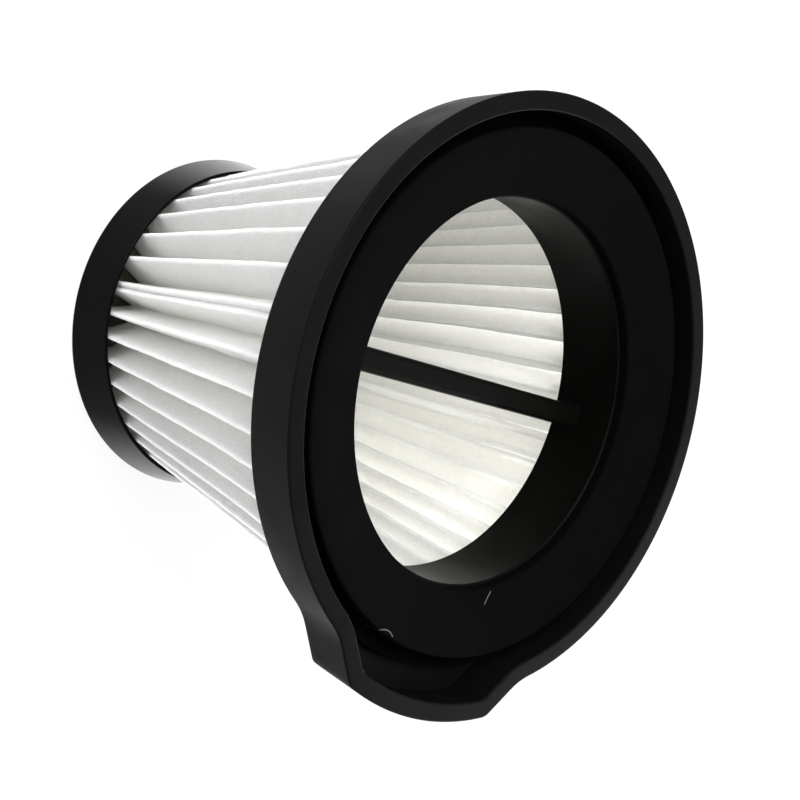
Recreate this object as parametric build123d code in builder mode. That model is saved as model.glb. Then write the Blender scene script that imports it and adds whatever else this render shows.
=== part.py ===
import os
from math import asin, cos, degrees, radians, sin, tan

from build123d import *

os.makedirs("parts", exist_ok=True)

# Conical vacuum cleaner filter, standing on its closed rear cap with the outlet upwards.
# The axis is Z, the origin is the centre of the cap's base and the pull tab points along -Y.
# Lengths are in millimetres and angles in degrees.

# Outlet frame: a ring plate with a collar below it and a grip bar across the collar
outlet_radius = 34.4
collar_wall = 1.4
collar_drop = 11.5
plate_thickness = 2.3
bar_width = 4.3
bar_height = 6.5
bar_rounding = 0.8
bar_root_fillet = 1.2
bar_turn = 5.3

# Pleated sheet: one strip of filter paper, folded to and fro and closed to a cone by a seam
overall_height = 86.1
cone_slope = 0.22
pleat_count = 43
pleat_depth = 7.8
sheet_thickness = 0.45
collar_clearance = 0.2
seam_direction = 181.2
seam_gap = 0.5
seam_depth = 1.6
loose_pleats = 3
loose_pitch = 9.5

# Seal ring: soft band round the plate, with a lip behind it and a hollow pull tab
lip_thickness = 3.0
lip_reach = 2.95
lip_clearance = 0.5
land_width = 3.45
rim_rise = 2.05
ring_taper = 1.75
ring_rounding = 0.4
ring_rear_rounding = 0.5
tab_reach = 4.75
tab_half_width = 19.7
tab_flank_angle = 38.7
tab_corner_radius = 3.4
tab_root_radius = 13.0
smallest_radius = 0.3

# Face gasket, a foam ring that lies on the plate: its face has a flat land and dips to the outlet
gasket_thickness = 3.95
gasket_land = 2.6
gasket_dip = 2.15
gasket_gap = 2.8
gasket_setback = 0.6
gasket_rounding = 0.4

# Rear cap and the potting that holds the ends of the pleats
cap_height = 9.1
cap_floor = 2.0
cap_wall = 0.7
cap_draft = 1.5
cap_rounding = 0.5
cap_rim_rounding = 0.2
pleat_clearance = 0.1
rear_potting_depth = 1.2
front_potting_depth = 1.0
potting_margin = 1.5
seat_clearance = 0.1

# Levels above the cap's base
ring_height = lip_thickness + plate_thickness + gasket_thickness + rim_rise
ring_bottom = overall_height - ring_height
plate_bottom = ring_bottom + lip_thickness
plate_top = plate_bottom + plate_thickness
gasket_top = plate_top + gasket_thickness
collar_bottom = plate_bottom - collar_drop
sheet_bottom = cap_floor + rear_potting_depth
sheet_top = plate_bottom - front_potting_depth

# Radii, from the outlet outwards
collar_radius = outlet_radius + collar_wall


def root_radius(height):
    return collar_radius + collar_clearance + cone_slope * (height - collar_bottom)


def tip_radius(height):
    return root_radius(height) + pleat_depth


lip_radius = tip_radius(sheet_top) + lip_clearance
ring_inner_radius = lip_radius + lip_reach
ring_radius = ring_inner_radius + land_width
plate_radius = ring_inner_radius - seat_clearance
gasket_radius = ring_inner_radius - gasket_gap
gasket_bore = outlet_radius + gasket_setback
cap_rim_radius = tip_radius(cap_height) + pleat_clearance + cap_wall
cap_base_radius = cap_rim_radius + cap_draft


def cap_radius(height):
    return cap_base_radius - cap_draft * height / cap_height


# A fold is creased sharp on its inside, so that its outside is an arc as wide as the sheet is thick
outer_arc = sheet_thickness
inner_arc = 0

# Directions of the folds: the first and last ridges stand side by side over the seam's shallow root
seam_angle = degrees((2 * outer_arc + seam_gap) / tip_radius(sheet_bottom))
even_pleats = pleat_count - 1 - loose_pleats
even_pitch = (360 - seam_angle - loose_pleats * loose_pitch) / even_pleats


def ridge_direction(index):
    if index == pleat_count:
        return ridge_direction(0) + 360
    even = min(index, even_pleats)
    return seam_direction + seam_angle / 2 + even * even_pitch + (index - even) * loose_pitch


def polar(radius, direction):
    return Vector(radius * cos(radians(direction)), radius * sin(radians(direction)))


# A straight panel between two folds, tangent to the arcs of both: an arc's radius is positive
# where it bulges away from the axis, negative where it bulges towards it and zero at a crease
def panel_ends(fold, next_fold):
    direction, radius, arc = fold
    next_direction, next_radius, next_arc = next_fold
    centre = polar(radius, direction)
    next_centre = polar(next_radius, next_direction)
    span = next_centre - centre
    swing = degrees(asin((arc - next_arc) / span.length))
    normal = span.normalized().rotate(Axis.Z, swing - 90)
    return centre + normal * arc, next_centre + normal * next_arc


# One side of the folded sheet at one height, as a closed outline of arcs and panels
def sheet_side(height, ridge_arc, root_arc):
    folds = []
    for index in range(pleat_count):
        ridge = ridge_direction(index)
        root = (ridge + ridge_direction(index + 1)) / 2
        depth = seam_depth if index == pleat_count - 1 else pleat_depth
        folds.append((ridge, tip_radius(height) - outer_arc, ridge_arc))
        folds.append((root, tip_radius(height) - depth + outer_arc, -root_arc))
    panels = [panel_ends(fold, after) for fold, after in zip(folds, folds[1:] + folds[:1])]
    with BuildSketch(Plane.XY.offset(height)) as side:
        with BuildLine():
            edges = []
            last_end = panels[-1][1]
            for (direction, radius, arc), (start, end) in zip(folds, panels):
                if arc:
                    crest = polar(radius + arc, direction)
                    edges.append(ThreePointArc(last_end, crest, start, mode=Mode.PRIVATE))
                edges.append(Line(start, end, mode=Mode.PRIVATE))
                last_end = end
            add(edges)
        make_face()
    return side.sketch


outer_side = [sheet_side(height, outer_arc, inner_arc) for height in (sheet_bottom, sheet_top)]
inner_side = [sheet_side(height, inner_arc, outer_arc) for height in (sheet_bottom, sheet_top)]

with BuildPart() as pleated_sheet:
    loft(outer_side, ruled=True)
    loft(inner_side, ruled=True, mode=Mode.SUBTRACT)
pleated_sheet.part.label = "pleated_sheet"
export_step(pleated_sheet.part, "parts/pleated_sheet.step")


# Outline of the seal ring: a circle and a tab with sloping flanks, moved in by an inset
def flange_outline(height, inset):
    slope = tan(radians(tab_flank_angle))
    half_width = tab_half_width - inset / cos(radians(tab_flank_angle))
    outer = ring_radius + tab_reach
    inner = ring_radius - 2 * tab_half_width / 3
    outer_half = half_width - (outer - ring_radius) * slope
    inner_half = half_width + (ring_radius - inner) * slope
    with BuildSketch(Plane.XY.offset(height)) as outline:
        Circle(outer - inset)
        with BuildLine():
            Polyline(
                (-inner_half, -inner),
                (-outer_half, -outer),
                (outer_half, -outer),
                (inner_half, -inner),
                close=True,
            )
        make_face(mode=Mode.INTERSECT)
        Circle(ring_radius - inset)
        corners = outline.vertices().sort_by(Axis.Y)[:2]
        fillet(corners, max(tab_corner_radius - inset, smallest_radius))
        roots = outline.vertices().sort_by(Axis.Y)[4:6]
        fillet(roots, tab_root_radius + inset)
    return outline.sketch


with BuildPart() as seal_ring:
    loft([flange_outline(ring_bottom, ring_taper), flange_outline(overall_height, 0)], ruled=True)
    extrude(flange_outline(plate_bottom, land_width), overall_height - plate_bottom, mode=Mode.SUBTRACT)
    with BuildSketch(Plane.XY.offset(ring_bottom)):
        Circle(lip_radius)
    extrude(amount=lip_thickness, mode=Mode.SUBTRACT)
    front_edges = seal_ring.faces().sort_by(Axis.Z)[-1].edges()
    fillet(front_edges, ring_rounding)
    rear_edges = seal_ring.faces().sort_by(Axis.Z)[0].outer_wire().edges()
    fillet(rear_edges, ring_rear_rounding)
seal_ring.part.label = "seal_ring"
export_step(seal_ring.part, "parts/seal_ring.step")

with BuildPart() as face_gasket:
    with BuildSketch(Plane.XZ) as gasket_section:
        with BuildLine():
            Polyline(
                (gasket_bore, plate_top),
                (gasket_radius, plate_top),
                (gasket_radius, gasket_top),
                (gasket_radius - gasket_land, gasket_top),
                (gasket_bore, gasket_top - gasket_dip),
                close=True,
            )
        make_face()
        sides = gasket_section.vertices().group_by(Axis.X)
        fillet([sides[0].sort_by(Axis.Y)[-1], sides[-1].sort_by(Axis.Y)[-1]], gasket_rounding)
    revolve(axis=Axis.Z)
face_gasket.part.label = "face_gasket"
export_step(face_gasket.part, "parts/face_gasket.step")

# The grip bar lies in a plane through the axis, level with the collar's lower edge
bar_line = polar(1, bar_turn)
bar_plane = Plane(origin=(0, 0, collar_bottom), x_dir=bar_line.rotate(Axis.Z, 90), z_dir=bar_line)

with BuildPart() as outlet_frame:
    with BuildSketch(Plane.XZ):
        with BuildLine():
            Polyline(
                (outlet_radius, collar_bottom),
                (collar_radius, collar_bottom),
                (collar_radius, plate_bottom),
                (plate_radius, plate_bottom),
                (plate_radius, plate_top),
                (outlet_radius, plate_top),
                close=True,
            )
        make_face()
    revolve(axis=Axis.Z)
    with BuildSketch(bar_plane) as bar_section:
        Rectangle(bar_width, bar_height, align=(Align.CENTER, Align.MIN))
        fillet(bar_section.vertices().group_by(Axis.Y)[-1], bar_rounding)
    extrude(amount=outlet_radius + collar_wall / 2, both=True)
    fillet(outlet_frame.edges(Select.NEW), bar_root_fillet)
outlet_frame.part.label = "outlet_frame"
export_step(outlet_frame.part, "parts/outlet_frame.step")

with BuildPart() as front_potting:
    with BuildSketch(Plane.XY.offset(sheet_top)):
        Circle(lip_radius - seat_clearance)
        Circle(collar_radius + seat_clearance, mode=Mode.SUBTRACT)
    extrude(amount=front_potting_depth)
front_potting.part.label = "front_potting"
export_step(front_potting.part, "parts/front_potting.step")

with BuildPart() as rear_cap:
    with BuildSketch(Plane.XZ):
        with BuildLine():
            Polyline(
                (0, 0),
                (cap_base_radius, 0),
                (cap_rim_radius, cap_height),
                (cap_rim_radius - cap_wall, cap_height),
                (cap_radius(cap_floor) - cap_wall, cap_floor),
                (0, cap_floor),
                close=True,
            )
        make_face()
    revolve(axis=Axis.Z)
    base_edge = rear_cap.edges().filter_by(GeomType.CIRCLE).group_by(Axis.Z)[0]
    fillet(base_edge, cap_rounding)
    rim_edges = rear_cap.edges().filter_by(GeomType.CIRCLE).group_by(Axis.Z)[-1]
    fillet(rim_edges, cap_rim_rounding)
rear_cap.part.label = "rear_cap"
export_step(rear_cap.part, "parts/rear_cap.step")

with BuildPart() as rear_potting:
    with BuildSketch(Plane.XY.offset(cap_floor)):
        Circle(cap_radius(sheet_bottom) - cap_wall - seat_clearance)
        Circle(root_radius(sheet_bottom) - potting_margin, mode=Mode.SUBTRACT)
    extrude(amount=rear_potting_depth)
rear_potting.part.label = "rear_potting"
export_step(rear_potting.part, "parts/rear_potting.step")
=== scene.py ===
import math

import bmesh
import bpy
from mathutils import Matrix, Quaternion, Vector, noise


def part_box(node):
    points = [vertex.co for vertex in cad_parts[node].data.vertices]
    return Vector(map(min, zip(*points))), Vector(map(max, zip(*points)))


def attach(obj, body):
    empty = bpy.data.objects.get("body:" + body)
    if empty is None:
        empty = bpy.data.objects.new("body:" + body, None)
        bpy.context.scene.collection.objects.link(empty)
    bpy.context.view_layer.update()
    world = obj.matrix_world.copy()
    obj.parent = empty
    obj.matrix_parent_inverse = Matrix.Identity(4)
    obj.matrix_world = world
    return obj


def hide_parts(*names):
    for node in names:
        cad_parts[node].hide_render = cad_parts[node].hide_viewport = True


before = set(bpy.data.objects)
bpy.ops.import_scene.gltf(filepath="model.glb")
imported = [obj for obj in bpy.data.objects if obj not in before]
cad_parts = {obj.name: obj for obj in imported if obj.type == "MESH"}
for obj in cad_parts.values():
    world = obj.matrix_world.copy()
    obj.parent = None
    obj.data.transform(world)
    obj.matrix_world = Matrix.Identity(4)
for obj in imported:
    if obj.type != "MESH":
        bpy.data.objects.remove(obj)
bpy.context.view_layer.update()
print("frame loaded:", ", ".join(sorted(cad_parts)))

mm = 0.001


def hexToLinear(code):
    channels = [int(code[i:i + 2], 16) / 255 for i in (1, 3, 5)]
    return [c / 12.92 if c <= 0.04045 else ((c + 0.055) / 1.055) ** 2.4 for c in channels] + [1.0]


def patternScale(size):  # features of this size in mm that fit into one metre
    return 1000 / size


# Adds one node: settings are its own properties, inputs are constants or sockets to link
def addNode(tree, kind, settings, inputs):
    node = tree.nodes.new(kind)
    for name, value in settings.items():
        setattr(node, name, value)
    for name, value in inputs.items():
        socket = node.inputs[name]
        if isinstance(value, bpy.types.NodeSocket):
            tree.links.new(value, socket)
        else:
            socket.default_value = value
    return node


def startMaterial(name):
    material = bpy.data.materials.new(name)
    material.use_nodes = True
    tree = material.node_tree
    shader = tree.nodes["Principled BSDF"]
    place = addNode(tree, "ShaderNodeTexCoord", {}, {}).outputs["Object"]
    return material, tree, shader, place


# Distance from the axis, mapped from a range of mm to a range of values
def radiusRange(tree, place, radii, values):
    flat = addNode(tree, "ShaderNodeVectorMath", {"operation": "MULTIPLY"}, {0: place, 1: (1, 1, 0)})
    radius = addNode(tree, "ShaderNodeVectorMath", {"operation": "LENGTH"}, {0: flat.outputs["Vector"]})
    return addNode(tree, "ShaderNodeMapRange", {}, {
        "Value": radius.outputs["Value"], "From Min": radii[0] * mm, "From Max": radii[1] * mm,
        "To Min": values[0], "To Max": values[1]}).outputs["Result"]


# Spins a section of (radius, height) points about the axis
def spinSection(form, points, steps, closed):
    corners = [form.verts.new((radius, 0, height)) for radius, height in points]
    following = corners[1:] + corners[:1] if closed else corners[1:]
    edges = [form.edges.new(pair) for pair in zip(corners, following)]
    bmesh.ops.spin(form, geom=corners + edges, cent=(0, 0, 0), axis=(0, 0, 1), angle=2 * math.pi,
                   steps=steps, use_merge=True)
    bmesh.ops.remove_doubles(form, verts=form.verts[:], dist=0.001)
    bmesh.ops.recalc_face_normals(form, faces=form.faces[:])


# Edges of a spun form that run round the axis at one radius and height
def roundEdges(form, radius, height):
    found = []
    for edge in form.edges:
        reach = [math.hypot(end.co.x, end.co.y) - radius for end in edge.verts]
        rise = [end.co.z - height for end in edge.verts]
        if max(abs(gap) for gap in reach + rise) < 0.01:
            found.append(edge)
    return found


def bevelEdges(form, edges, size, segments):
    bmesh.ops.bevel(form, geom=edges, offset=size, offset_type="OFFSET", segments=segments, profile=0.5,
                    affect="EDGES", clamp_overlap=True, material=-1)


# Turns a form in mm into a piece that rides on the body and stands for one node
def makePiece(form, name, material, node):
    bmesh.ops.recalc_face_normals(form, faces=form.faces[:])
    for face in form.faces:
        face.smooth = True
    bmesh.ops.scale(form, vec=(mm, mm, mm), verts=form.verts[:])
    mesh = bpy.data.meshes.new(name)
    form.to_mesh(mesh)
    form.free()
    mesh.set_sharp_from_angle(angle=math.radians(40))
    mesh.materials.append(material)
    piece = bpy.data.objects.new(name, mesh)
    bpy.context.scene.collection.objects.link(piece)
    crisp = piece.modifiers.new("crispFolds", "WEIGHTED_NORMAL")
    crisp.keep_sharp = True
    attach(piece, "root")
    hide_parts(node)
    print(name, "done:", len(mesh.polygons), "faces")
    return piece


# Soft black thermoplastic rubber, injection moulded against a lightly etched steel mould:
# satin, with a broad soft highlight and a few grains of dust
def makeSealRubber():
    spec = {"colour": "#080808", "worn": "#0c0c0c", "dust": "#5c5b57", "roughness": (0.34, 0.46),
            "grain": 0.3, "cloud": 9.0, "dustGap": 6.0, "dustSize": 0.13,
            "shadedGrooveWall": (49.5, 49.8), "shine": (0.0, 0.028)}
    material, tree, shader, place = startMaterial("sealRubber")
    cloud = addNode(tree, "ShaderNodeTexNoise", {}, {
        "Vector": place, "Scale": patternScale(spec["cloud"]), "Detail": 3.0})
    grain = addNode(tree, "ShaderNodeTexNoise", {}, {
        "Vector": place, "Scale": patternScale(spec["grain"]), "Detail": 2.0})
    tone = addNode(tree, "ShaderNodeMix", {"data_type": "RGBA"}, {
        0: cloud.outputs["Fac"], 6: hexToLinear(spec["colour"]), 7: hexToLinear(spec["worn"])})
    specks = addNode(tree, "ShaderNodeTexVoronoi", {}, {
        "Vector": place, "Scale": patternScale(spec["dustGap"])})
    speckEdge = addNode(tree, "ShaderNodeMapRange", {}, {
        "Value": specks.outputs["Distance"], "From Min": spec["dustSize"] / spec["dustGap"],
        "From Max": 0.5 * spec["dustSize"] / spec["dustGap"]})
    dusty = addNode(tree, "ShaderNodeMix", {"data_type": "RGBA"}, {
        0: speckEdge.outputs["Result"], 6: tone.outputs[2], 7: hexToLinear(spec["dust"])})
    rough = addNode(tree, "ShaderNodeMapRange", {}, {
        "Value": cloud.outputs["Fac"], "From Min": 0.3, "From Max": 0.7,
        "To Min": spec["roughness"][0], "To Max": spec["roughness"][1]})
    bump = addNode(tree, "ShaderNodeBump", {}, {
        "Height": grain.outputs["Fac"], "Strength": 0.08, "Distance": 0.05 * mm})
    tree.links.new(dusty.outputs[2], shader.inputs["Base Color"])
    tree.links.new(rough.outputs["Result"], shader.inputs["Roughness"])
    tree.links.new(bump.outputs["Normal"], shader.inputs["Normal"])
    # Below a radius of 49.5 mm, on the ring's inner wall and the lip inside it, the specular level drops to nothing:
    # painted shade in the groove
    tree.links.new(radiusRange(tree, place, spec["shadedGrooveWall"], spec["shine"]), shader.inputs["Specular IOR Level"])
    return material


# Black closed-cell foam, die-cut from a sheet: fine open skin that hardly shines
def makeGasketFoam():
    spec = {"colour": "#030303", "pale": "#060606", "lint": "#55544f", "cell": 0.45, "cloud": 7.0,
            "lintWidth": 0.1, "hairs": (((-12.0, -47.4), 3.0, (-11.6, -44.4), 1.9), ((27.0, -40.7), 15.4, (13.0, -34.4), 1.4))}
    material, tree, shader, place = startMaterial("gasketFoam")
    cells = addNode(tree, "ShaderNodeTexVoronoi", {}, {
        "Vector": place, "Scale": patternScale(spec["cell"])})
    cloud = addNode(tree, "ShaderNodeTexNoise", {}, {
        "Vector": place, "Scale": patternScale(spec["cloud"]), "Detail": 4.0})
    tone = addNode(tree, "ShaderNodeMix", {"data_type": "RGBA"}, {
        0: cloud.outputs["Fac"], 6: hexToLinear(spec["colour"]), 7: hexToLinear(spec["pale"])})
    bump = addNode(tree, "ShaderNodeBump", {}, {
        "Height": cells.outputs["Distance"], "Strength": 0.3, "Distance": 0.08 * mm})
    flat = addNode(tree, "ShaderNodeVectorMath", {"operation": "MULTIPLY"}, {0: place, 1: (1, 1, 0)})
    hairs = None
    for middle, bend, end, reach in spec["hairs"]:
        fromMiddle = addNode(tree, "ShaderNodeVectorMath", {"operation": "DISTANCE"}, {
            0: flat.outputs["Vector"], 1: (middle[0] * mm, middle[1] * mm, 0)})
        offLine = addNode(tree, "ShaderNodeMath", {"operation": "SUBTRACT"}, {
            0: fromMiddle.outputs["Value"], 1: bend * mm})
        onLine = addNode(tree, "ShaderNodeMath", {"operation": "COMPARE"}, {
            0: offLine.outputs["Value"], 1: 0.0, 2: spec["lintWidth"] * mm})
        fromEnd = addNode(tree, "ShaderNodeVectorMath", {"operation": "DISTANCE"}, {
            0: flat.outputs["Vector"], 1: (end[0] * mm, end[1] * mm, 0)})
        inReach = addNode(tree, "ShaderNodeMath", {"operation": "LESS_THAN"}, {
            0: fromEnd.outputs["Value"], 1: reach * mm})
        hair = addNode(tree, "ShaderNodeMath", {"operation": "MULTIPLY"}, {
            0: onLine.outputs["Value"], 1: inReach.outputs["Value"]})
        if hairs:
            hair = addNode(tree, "ShaderNodeMath", {"operation": "MAXIMUM"}, {
                0: hairs.outputs["Value"], 1: hair.outputs["Value"]})
        hairs = hair
    tone = addNode(tree, "ShaderNodeMix", {"data_type": "RGBA"}, {
        0: hairs.outputs["Value"], 6: tone.outputs[2], 7: hexToLinear(spec["lint"])})
    tree.links.new(tone.outputs[2], shader.inputs["Base Color"])
    tree.links.new(bump.outputs["Normal"], shader.inputs["Normal"])
    shader.inputs["Roughness"].default_value = 0.85
    shader.inputs["Specular IOR Level"].default_value = 0.02
    return material


# Black ABS from a spark-eroded mould: satin, with the faint waviness of a moulded skin
def makeFramePlastic():
    spec = {"colour": "#050504", "roughness": (0.4, 0.54), "ripple": 3.5, "smudge": 11.0,
            "plate": (46.0, 46.8), "shine": (0.045, 0.16)}
    material, tree, shader, place = startMaterial("framePlastic")
    ripple = addNode(tree, "ShaderNodeTexNoise", {}, {
        "Vector": place, "Scale": patternScale(spec["ripple"]), "Detail": 1.0})
    smudge = addNode(tree, "ShaderNodeTexNoise", {}, {
        "Vector": place, "Scale": patternScale(spec["smudge"]), "Detail": 4.0})
    rough = addNode(tree, "ShaderNodeMapRange", {}, {
        "Value": smudge.outputs["Fac"], "From Min": 0.35, "From Max": 0.7,
        "To Min": spec["roughness"][0], "To Max": spec["roughness"][1]})
    bump = addNode(tree, "ShaderNodeBump", {}, {
        "Height": ripple.outputs["Fac"], "Strength": 0.05, "Distance": 0.1 * mm})
    tree.links.new(rough.outputs["Result"], shader.inputs["Roughness"])
    tree.links.new(bump.outputs["Normal"], shader.inputs["Normal"])
    shader.inputs["Base Color"].default_value = hexToLinear(spec["colour"])
    facing = addNode(tree, "ShaderNodeLayerWeight", {}, {"Blend": 0.5})
    shine = addNode(tree, "ShaderNodeMapRange", {"interpolation_type": "SMOOTHSTEP"}, {
        "Value": facing.outputs["Facing"], "From Min": 0.5, "From Max": 0.95,
        "To Min": spec["shine"][0], "To Max": spec["shine"][1]})
    # Beyond a radius of 46.8 mm the plate's specular level drops to nothing: painted shade on the plate's edge down in
    # the groove
    grooveShadedShine = addNode(tree, "ShaderNodeMath", {"operation": "MULTIPLY"}, {
        0: shine.outputs["Result"], 1: radiusRange(tree, place, spec["plate"], (1.0, 0.0))})
    tree.links.new(grooveShadedShine.outputs["Value"], shader.inputs["Specular IOR Level"])
    return material


# Black ABS from a finely blasted mould: glossy at a low angle, darker where it faces the eye
def makeCapPlastic():
    spec = {"colour": "#060606", "worn": "#0a0a0a", "roughness": (0.12, 0.2), "shine": (0.04, 1.0),
            "grain": 0.35, "cloud": 8.0}
    material, tree, shader, place = startMaterial("capPlastic")
    grain = addNode(tree, "ShaderNodeTexNoise", {}, {
        "Vector": place, "Scale": patternScale(spec["grain"]), "Detail": 2.0})
    cloud = addNode(tree, "ShaderNodeTexNoise", {}, {
        "Vector": place, "Scale": patternScale(spec["cloud"]), "Detail": 3.0})
    tone = addNode(tree, "ShaderNodeMix", {"data_type": "RGBA"}, {
        0: cloud.outputs["Fac"], 6: hexToLinear(spec["colour"]), 7: hexToLinear(spec["worn"])})
    rough = addNode(tree, "ShaderNodeMapRange", {}, {
        "Value": cloud.outputs["Fac"], "From Min": 0.3, "From Max": 0.7,
        "To Min": spec["roughness"][0], "To Max": spec["roughness"][1]})
    bump = addNode(tree, "ShaderNodeBump", {}, {
        "Height": grain.outputs["Fac"], "Strength": 0.05, "Distance": 0.05 * mm})
    tree.links.new(tone.outputs[2], shader.inputs["Base Color"])
    tree.links.new(rough.outputs["Result"], shader.inputs["Roughness"])
    tree.links.new(bump.outputs["Normal"], shader.inputs["Normal"])
    facing = addNode(tree, "ShaderNodeLayerWeight", {}, {"Blend": 0.5})
    shine = addNode(tree, "ShaderNodeMapRange", {"interpolation_type": "SMOOTHSTEP"}, {
        "Value": facing.outputs["Facing"], "From Min": 0.45, "From Max": 0.92,
        "To Min": spec["shine"][0], "To Max": spec["shine"][1]})
    tree.links.new(shine.outputs["Result"], shader.inputs["Specular IOR Level"])
    return material


# White filter paper, a wet-laid mat of fine fibres: matt, cloudy where the mat is thinner,
# and thin enough to let light glow through
def makeFilterPaper():
    spec = {"colour": "#fdfcf8", "thin": "#f1f0e8", "fibre": 0.22, "mat": 0.8, "cloud": 6.0, "glowDepth": 4.5}
    material, tree, shader, place = startMaterial("filterPaper")
    cloud = addNode(tree, "ShaderNodeTexNoise", {}, {
        "Vector": place, "Scale": patternScale(spec["cloud"]), "Detail": 3.0})
    mat = addNode(tree, "ShaderNodeTexNoise", {}, {
        "Vector": place, "Scale": patternScale(spec["mat"]), "Detail": 5.0, "Roughness": 0.65, "Distortion": 0.8})
    fibre = addNode(tree, "ShaderNodeTexNoise", {}, {
        "Vector": place, "Scale": patternScale(spec["fibre"]), "Detail": 3.0, "Distortion": 1.6})
    density = addNode(tree, "ShaderNodeMath", {"operation": "MULTIPLY_ADD"}, {
        0: cloud.outputs["Fac"], 1: 0.3, 2: mat.outputs["Fac"]})
    thinness = addNode(tree, "ShaderNodeMapRange", {}, {
        "Value": density.outputs["Value"], "From Min": 0.45, "From Max": 0.9})
    tone = addNode(tree, "ShaderNodeMix", {"data_type": "RGBA"}, {
        0: thinness.outputs["Result"], 6: hexToLinear(spec["colour"]), 7: hexToLinear(spec["thin"])})
    nap = addNode(tree, "ShaderNodeMath", {"operation": "MULTIPLY_ADD"}, {
        0: fibre.outputs["Fac"], 1: 0.5, 2: mat.outputs["Fac"]})
    bump = addNode(tree, "ShaderNodeBump", {}, {
        "Height": nap.outputs["Value"], "Strength": 0.8, "Distance": 0.3 * mm})
    tree.links.new(tone.outputs[2], shader.inputs["Base Color"])
    tree.links.new(bump.outputs["Normal"], shader.inputs["Normal"])
    shader.inputs["Roughness"].default_value = 0.9
    shader.inputs["Specular IOR Level"].default_value = 0.15
    shader.inputs["Subsurface Weight"].default_value = 1.0
    shader.inputs["Subsurface Radius"].default_value = (1.0, 1.0, 0.92)
    shader.inputs["Subsurface Scale"].default_value = spec["glowDepth"] * mm
    return material


# Set hot-melt glue, coloured dark olive: the glue is real, and its dark colour also paints the shade down in the pleat
# valleys by the cap. Dull, slightly lumpy
def makeShadedPottingGlue():
    spec = {"colour": "#34332a", "pale": "#444336", "lump": 2.5}
    material, tree, shader, place = startMaterial("pottingGlueAndShade")
    lump = addNode(tree, "ShaderNodeTexNoise", {}, {
        "Vector": place, "Scale": patternScale(spec["lump"]), "Detail": 2.0})
    tone = addNode(tree, "ShaderNodeMix", {"data_type": "RGBA"}, {
        0: lump.outputs["Fac"], 6: hexToLinear(spec["colour"]), 7: hexToLinear(spec["pale"])})
    bump = addNode(tree, "ShaderNodeBump", {}, {
        "Height": lump.outputs["Fac"], "Strength": 0.5, "Distance": 0.5 * mm})
    tree.links.new(tone.outputs[2], shader.inputs["Base Color"])
    tree.links.new(bump.outputs["Normal"], shader.inputs["Normal"])
    shader.inputs["Roughness"].default_value = 0.45
    return material


finishes = {
    "seal_ring": makeSealRubber(),
    "face_gasket": makeGasketFoam(),
    "outlet_frame": makeFramePlastic(),
    "rear_cap": makeCapPlastic(),
    "pleated_sheet": makeFilterPaper(),
    "front_potting": makeShadedPottingGlue(),
}
finishes["rear_potting"] = finishes["front_potting"]
for nodeName, finish in finishes.items():
    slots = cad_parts[nodeName].material_slots
    for slot in slots:
        slot.material = finish
print("materials done")


# Soft ring with a raised rim, a lip behind it and a hollow tab that points along -Y
def makeSealRing(material):
    spec = {"radius": 53.01, "land": 3.45, "taper": 1.75, "lipRadius": 46.61, "lipThickness": 3.0,
            "tabReach": 4.75, "tabHalfWidth": 19.7, "flank": 38.7, "corner": 3.4, "root": 13.0,
            "leastCorner": 0.3, "rounding": 0.4, "rearRounding": 0.5, "steps": 720}
    low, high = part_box("seal_ring")
    bottom, top = low.z / mm, high.z / mm
    radius, inner, rear = spec["radius"], spec["radius"] - spec["land"], spec["radius"] - spec["taper"]
    flank = math.radians(spec["flank"])
    facing = math.pi / 2 - flank

    # Radius of the outline at a turn from the tab's middle, moved in by an inset: the tab's outer arc,
    # its rounded corner, its straight flank, its rounded root and the ring
    def outline(turn, inset):
        ring = radius - inset
        outer = ring + spec["tabReach"]
        corner = max(spec["corner"] - inset, spec["leastCorner"])
        root = spec["root"] + inset
        flankReach = (spec["tabHalfWidth"] + math.tan(flank) * radius) * math.cos(flank) - inset
        cornerTurn = facing - math.acos((flankReach - corner) / (outer - corner))
        rootTurn = facing - math.acos((flankReach + root) / (ring + root))
        if turn <= cornerTurn:
            return outer
        if turn >= rootTurn:
            return ring
        normal = Vector((math.sin(facing), math.cos(facing)))
        cornerEnd = Vector((math.sin(cornerTurn), math.cos(cornerTurn))) * (outer - corner) + normal * corner
        rootEnd = Vector((math.sin(rootTurn), math.cos(rootTurn))) * (ring + root) - normal * root
        if turn < math.atan2(cornerEnd.x, cornerEnd.y):
            across = (outer - corner) * math.sin(turn - cornerTurn)
            return (outer - corner) * math.cos(turn - cornerTurn) + math.sqrt(corner ** 2 - across ** 2)
        if turn > math.atan2(rootEnd.x, rootEnd.y):
            across = (ring + root) * math.sin(turn - rootTurn)
            return (ring + root) * math.cos(turn - rootTurn) - math.sqrt(root ** 2 - across ** 2)
        return flankReach / math.cos(turn - facing)

    form = bmesh.new()
    floor = bottom + spec["lipThickness"]
    spinSection(form, [(rear, bottom), (radius, top), (inner, top), (inner, floor), (spec["lipRadius"], floor),
                       (spec["lipRadius"], bottom)], spec["steps"], True)
    frontEdges = roundEdges(form, radius, top) + roundEdges(form, inner, top)
    rearEdges = roundEdges(form, rear, bottom)
    for point in form.verts:
        reach = math.hypot(point.co.x, point.co.y)
        if reach > spec["lipRadius"] + 0.1:
            stretch = outline(abs(math.atan2(point.co.x, -point.co.y)), radius - reach) / reach
            point.co.x *= stretch
            point.co.y *= stretch
    bevelEdges(form, frontEdges, spec["rounding"], 4)
    bevelEdges(form, rearEdges, spec["rearRounding"], 4)
    return makePiece(form, "sealRing", material, "seal_ring")


makeSealRing(finishes["seal_ring"])


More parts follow.
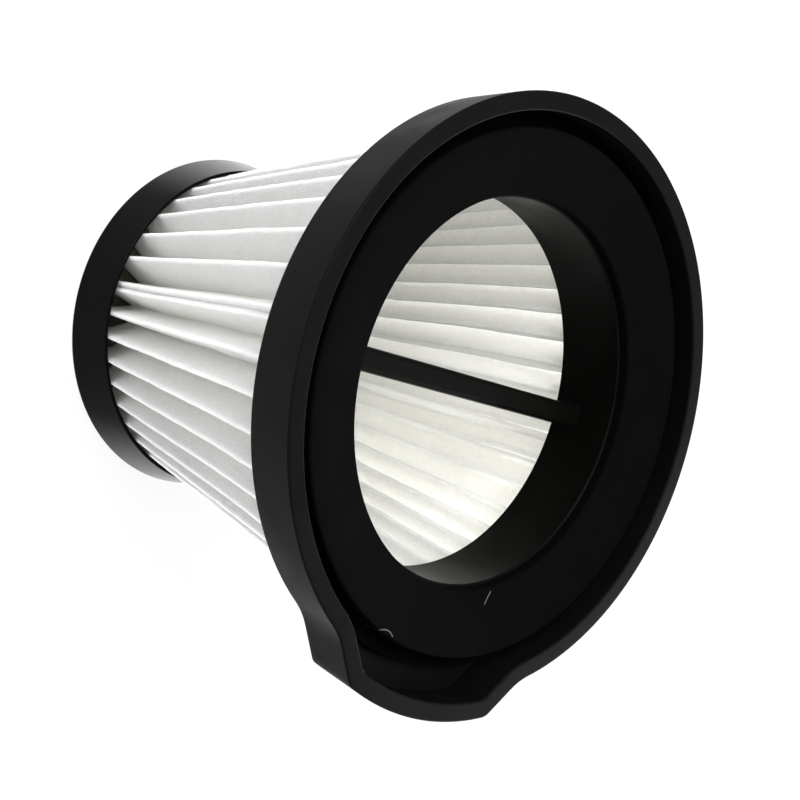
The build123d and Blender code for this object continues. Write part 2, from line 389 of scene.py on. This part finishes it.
# Foam ring with a flat outer land, from which its face dips to the outlet
def makeFaceGasket(material):
    spec = {"bore": 35.0, "radius": 46.76, "land": 2.6, "dip": 2.15, "rounding": 0.4, "dipRounding": 2.0,
            "steps": 240}
    low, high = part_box("face_gasket")
    bottom, top = low.z / mm, high.z / mm
    landEdge, boreTop = spec["radius"] - spec["land"], top - spec["dip"]
    form = bmesh.new()
    spinSection(form, [(spec["bore"], bottom), (spec["radius"], bottom), (spec["radius"], top), (landEdge, top),
                       (spec["bore"], boreTop)], spec["steps"], True)
    dipEdges = roundEdges(form, landEdge, top)
    sharpEdges = roundEdges(form, spec["radius"], top) + roundEdges(form, spec["bore"], boreTop)
    bevelEdges(form, dipEdges, spec["dipRounding"], 6)
    bevelEdges(form, sharpEdges, spec["rounding"], 4)
    return makePiece(form, "faceGasket", material, "face_gasket")


makeFaceGasket(finishes["face_gasket"])


# Ring plate with a collar below it, and a grip bar across the collar
def makeOutletFrame(material):
    spec = {"outlet": 34.4, "wall": 1.4, "plate": 49.46, "plateThickness": 2.3, "rounding": 0.3, "steps": 240,
            "barWidth": 4.3, "barHeight": 6.5, "barRounding": 1.0, "barTurn": 5.3, "barSink": 0.6}
    low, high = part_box("outlet_frame")
    bottom, top = low.z / mm, high.z / mm
    collar, plateBottom = spec["outlet"] + spec["wall"], top - spec["plateThickness"]
    form = bmesh.new()
    spinSection(form, [(spec["outlet"], bottom), (collar, bottom), (collar, plateBottom),
                       (spec["plate"], plateBottom), (spec["plate"], top), (spec["outlet"], top)],
                spec["steps"], True)
    mouthEdges = roundEdges(form, spec["outlet"], top) + roundEdges(form, spec["outlet"], bottom)
    bevelEdges(form, mouthEdges, spec["rounding"], 3)
    length = 2 * (spec["outlet"] + spec["barSink"])
    middle = bottom + spec["barHeight"] / 2
    place = Matrix.Rotation(math.radians(spec["barTurn"]), 4, "Z") @ Matrix.Translation((0, 0, middle))
    shape = Matrix.Diagonal((length, spec["barWidth"], spec["barHeight"], 1))
    bar = bmesh.ops.create_cube(form, size=1, matrix=place @ shape)["verts"]
    longEdges = {edge for point in bar for edge in point.link_edges if edge.calc_length() > length - 1}
    topEdges = [edge for edge in longEdges if edge.verts[0].co.z > middle]
    bevelEdges(form, topEdges, spec["barRounding"], 6)
    return makePiece(form, "outletFrame", material, "outlet_frame")


makeOutletFrame(finishes["outlet_frame"])


# Closed cap with a slightly tapered wall
def makeRearCap(material):
    spec = {"base": 33.52, "rim": 32.02, "wall": 0.7, "floor": 2.0, "rounding": 0.5, "rimRounding": 0.2, "steps": 240}
    low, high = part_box("rear_cap")
    bottom, top = low.z / mm, high.z / mm
    floor = bottom + spec["floor"]
    corner = spec["base"] - (spec["base"] - spec["rim"]) * spec["floor"] / (top - bottom) - spec["wall"]
    form = bmesh.new()
    spinSection(form, [(0, bottom), (spec["base"], bottom), (spec["rim"], top), (spec["rim"] - spec["wall"], top),
                       (corner, floor), (0, floor)], spec["steps"], False)
    rimEdges = roundEdges(form, spec["rim"], top) + roundEdges(form, spec["rim"] - spec["wall"], top)
    bevelEdges(form, roundEdges(form, spec["base"], bottom), spec["rounding"], 4)
    bevelEdges(form, rimEdges, spec["rimRounding"], 3)
    return makePiece(form, "rearCap", material, "rear_cap")


makeRearCap(finishes["rear_cap"])


# Folded strip of filter paper: ridges and roots stand on two cones, and the strip's two ends meet
# in a seam where the first and the last ridge stand side by side over a shallow root
def makePleatedPaper(material):
    spec = {"ridges": 43, "depth": 7.8, "thickness": 0.45, "slope": 0.22, "topTip": 46.11, "fold": 1.3, "foldCut": 0.95,
            "seamDirection": 181.2, "seamWidth": 1.4, "seamDepth": 1.6, "seamFold": 0.35,
            "loosePleats": 3, "loosePitch": 9.5, "rows": 46, "columns": 4,
            "bow": 0.2, "bowLength": 14.0, "lean": 0.35, "leanLength": 38.0, "ragged": 0.1, "raggedLength": 2.6}
    low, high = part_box("pleated_sheet")
    bottom, top = low.z / mm, high.z / mm
    bottomTip = spec["topTip"] - spec["slope"] * (top - bottom)
    seamAngle = math.degrees(spec["seamWidth"] / bottomTip)
    evenPleats = spec["ridges"] - 1 - spec["loosePleats"]
    evenPitch = (360 - seamAngle - spec["loosePleats"] * spec["loosePitch"]) / evenPleats
    ridgeDirections = [spec["seamDirection"] + seamAngle / 2]
    for index in range(spec["ridges"] - 1):
        pitch = evenPitch if index < evenPleats else spec["loosePitch"]
        ridgeDirections.append(ridgeDirections[-1] + pitch)
    ridgeDirections.append(ridgeDirections[0] + 360)

    # The bevel takes a little off each fold, so the sharp strip is that much deeper
    half = spec["thickness"] / 2
    ridgeRadius = bottomTip - half + spec["foldCut"]
    rootRadius = bottomTip - spec["depth"] + half - spec["foldCut"]
    form = bmesh.new()
    corners = []
    for index, (direction, after) in enumerate(zip(ridgeDirections, ridgeDirections[1:])):
        atSeam = index == spec["ridges"] - 1
        ridge = bottomTip - half if atSeam or index == 0 else ridgeRadius
        root = bottomTip - spec["seamDepth"] + half if atSeam else rootRadius
        for radius, angle in ((ridge, direction), (root, (direction + after) / 2)):
            turn = math.radians(angle)
            corners.append(form.verts.new((radius * math.cos(turn), radius * math.sin(turn), bottom)))
    for corner, after in zip(corners, corners[1:] + corners[:1]):
        form.edges.new((corner, after))
    seamCorners = [corners[0].co.copy(), corners[-1].co.copy(), corners[-2].co.copy()]
    raised = bmesh.ops.extrude_edge_only(form, edges=form.edges[:])["geom"]
    for point in [item for item in raised if isinstance(item, bmesh.types.BMVert)]:
        outward = Vector((point.co.x, point.co.y, 0)).normalized()
        point.co += outward * spec["slope"] * (top - bottom)
        point.co.z = top
    upright = [edge for edge in form.edges if abs(edge.verts[0].co.z - edge.verts[1].co.z) > 1]
    seamFolds = []
    plainFolds = []
    for edge in upright:
        foot = min(edge.verts, key=lambda end: end.co.z).co
        atSeam = min((foot - place).length for place in seamCorners) < 0.01
        (seamFolds if atSeam else plainFolds).append(edge)
    bevelEdges(form, plainFolds, spec["fold"], 4)
    bevelEdges(form, seamFolds, spec["seamFold"], 3)
    upright = [edge for edge in form.edges if abs(edge.verts[0].co.z - edge.verts[1].co.z) > 1]
    bmesh.ops.subdivide_edges(form, edges=upright, cuts=spec["rows"], use_grid_fill=True)
    panels = [edge for edge in form.edges
              if abs(edge.verts[0].co.z - edge.verts[1].co.z) < 0.01 and edge.calc_length() > 2.5]
    bmesh.ops.subdivide_edges(form, edges=panels, cuts=spec["columns"], use_grid_fill=True)

    # The panels bow, the folds lean and their crests are a little ragged, but the glued ends hold still
    for point in form.verts:
        rise = (point.co.z - bottom) / (top - bottom)
        free = math.sin(math.pi * rise) ** 0.6 if 0 < rise < 1 else 0
        bow = noise.noise_vector(point.co / spec["bowLength"]) * spec["bow"]
        lean = noise.noise_vector(point.co / spec["leanLength"]) * spec["lean"]
        ragged = noise.noise_vector(point.co / spec["raggedLength"]) * spec["ragged"]
        shift = (bow + lean + ragged) * free
        point.co += Vector((shift.x, shift.y, 0))
    bmesh.ops.recalc_face_normals(form, faces=form.faces[:])
    form.normal_update()
    for point in form.verts:
        point.co += point.normal * half
    bmesh.ops.solidify(form, geom=form.faces[:], thickness=spec["thickness"])
    return makePiece(form, "pleatedPaper", material, "pleated_sheet")


makePleatedPaper(finishes["pleated_sheet"])


def makeFloor():
    spec = {"colour": "#f4f4f4", "size": 4000.0, "whiteness": 0.85, "mirroredWhiteness": 0.6}
    form = bmesh.new()
    bmesh.ops.create_grid(form, x_segments=1, y_segments=1, size=spec["size"] / 2 * mm)
    mesh = bpy.data.meshes.new("floor")
    form.to_mesh(mesh)
    form.free()
    floor = bpy.data.objects.new("floor", mesh)
    bpy.context.scene.collection.objects.link(floor)
    material, tree, shader, place = startMaterial("floorPaper")
    shader.inputs["Base Color"].default_value = hexToLinear(spec["colour"])
    shader.inputs["Roughness"].default_value = 0.9
    shader.inputs["Specular IOR Level"].default_value = 0.1
    path = addNode(tree, "ShaderNodeLightPath", {}, {})
    mirrored = addNode(tree, "ShaderNodeMath", {"operation": "MAXIMUM"}, {
        0: path.outputs["Is Glossy Ray"], 1: path.outputs["Is Transmission Ray"]})
    fainter = addNode(tree, "ShaderNodeMath", {"operation": "MULTIPLY"}, {
        0: mirrored.outputs["Value"], 1: spec["mirroredWhiteness"]})
    amount = addNode(tree, "ShaderNodeMath", {"operation": "MULTIPLY_ADD"}, {
        0: path.outputs["Is Camera Ray"], 1: spec["whiteness"], 2: fainter.outputs["Value"]})
    glow = addNode(tree, "ShaderNodeEmission", {}, {"Strength": 1.0})
    blend = addNode(tree, "ShaderNodeMixShader", {}, {
        0: amount.outputs["Value"], 1: shader.outputs["BSDF"], 2: glow.outputs["Emission"]})
    tree.links.new(blend.outputs["Shader"], tree.nodes["Material Output"].inputs["Surface"])
    mesh.materials.append(material)


makeFloor()


def addLamp(name, spec):
    data = bpy.data.lights.new(name, "AREA")
    data.shape = "RECTANGLE"
    data.size = spec["width"] * mm
    data.size_y = spec["height"] * mm
    data.energy = spec["power"]
    lamp = bpy.data.objects.new(name, data)
    bpy.context.scene.collection.objects.link(lamp)
    lamp.location = Vector(spec["place"]) * mm
    aim = Vector(spec["aim"]) * mm - lamp.location
    lamp.rotation_mode = "QUATERNION"
    lamp.rotation_quaternion = aim.to_track_quat("-Z", "Y")
    return lamp


lamps = {
    "keyLamp": {"place": (-330, 330, 640), "aim": (0, 0, 60), "width": 400, "height": 400, "power": 4.6},
    "mouthLamp": {"place": (-80, 190, 740), "aim": (0, -5, 60), "width": 260, "height": 260, "power": 2.4},
    "backLamp": {"place": (510, -150, 130), "aim": (0, 0, 40), "width": 400, "height": 300, "power": 3.0},
}
for lampName, lampSpec in lamps.items():
    addLamp(lampName, lampSpec)

world = bpy.data.worlds.new("studio")
bpy.context.scene.world = world
world.use_nodes = True
sky = world.node_tree.nodes["Background"]
sky.inputs["Color"].default_value = hexToLinear("#ffffff")
skyLight = 0.9
seen = addNode(world.node_tree, "ShaderNodeLightPath", {}, {}).outputs["Is Camera Ray"]
skyStrength = addNode(world.node_tree, "ShaderNodeMath", {"operation": "MULTIPLY_ADD"}, {
    0: seen, 1: 1.0 - skyLight, 2: skyLight})
world.node_tree.links.new(skyStrength.outputs["Value"], sky.inputs["Strength"])


def makeCamera():
    spec = {"place": (-242.27, -27.36, 290.94), "aim": (0.48, -5.26, 58.45), "roll": 104.66, "lens": 82.61}
    data = bpy.data.cameras.new("camera")
    data.sensor_width = 36.0
    data.lens = spec["lens"]
    data.clip_start = 10 * mm
    data.clip_end = 10.0
    camera = bpy.data.objects.new("camera", data)
    bpy.context.scene.collection.objects.link(camera)
    camera.location = Vector(spec["place"]) * mm
    aim = Vector(spec["aim"]) * mm - camera.location
    roll = Quaternion((0, 0, 1), math.radians(spec["roll"]))
    camera.rotation_mode = "QUATERNION"
    camera.rotation_quaternion = aim.to_track_quat("-Z", "Y") @ roll
    bpy.context.scene.camera = camera


makeCamera()
bpy.context.scene.view_settings.view_transform = "Standard"
print("stage, lamps and camera done")
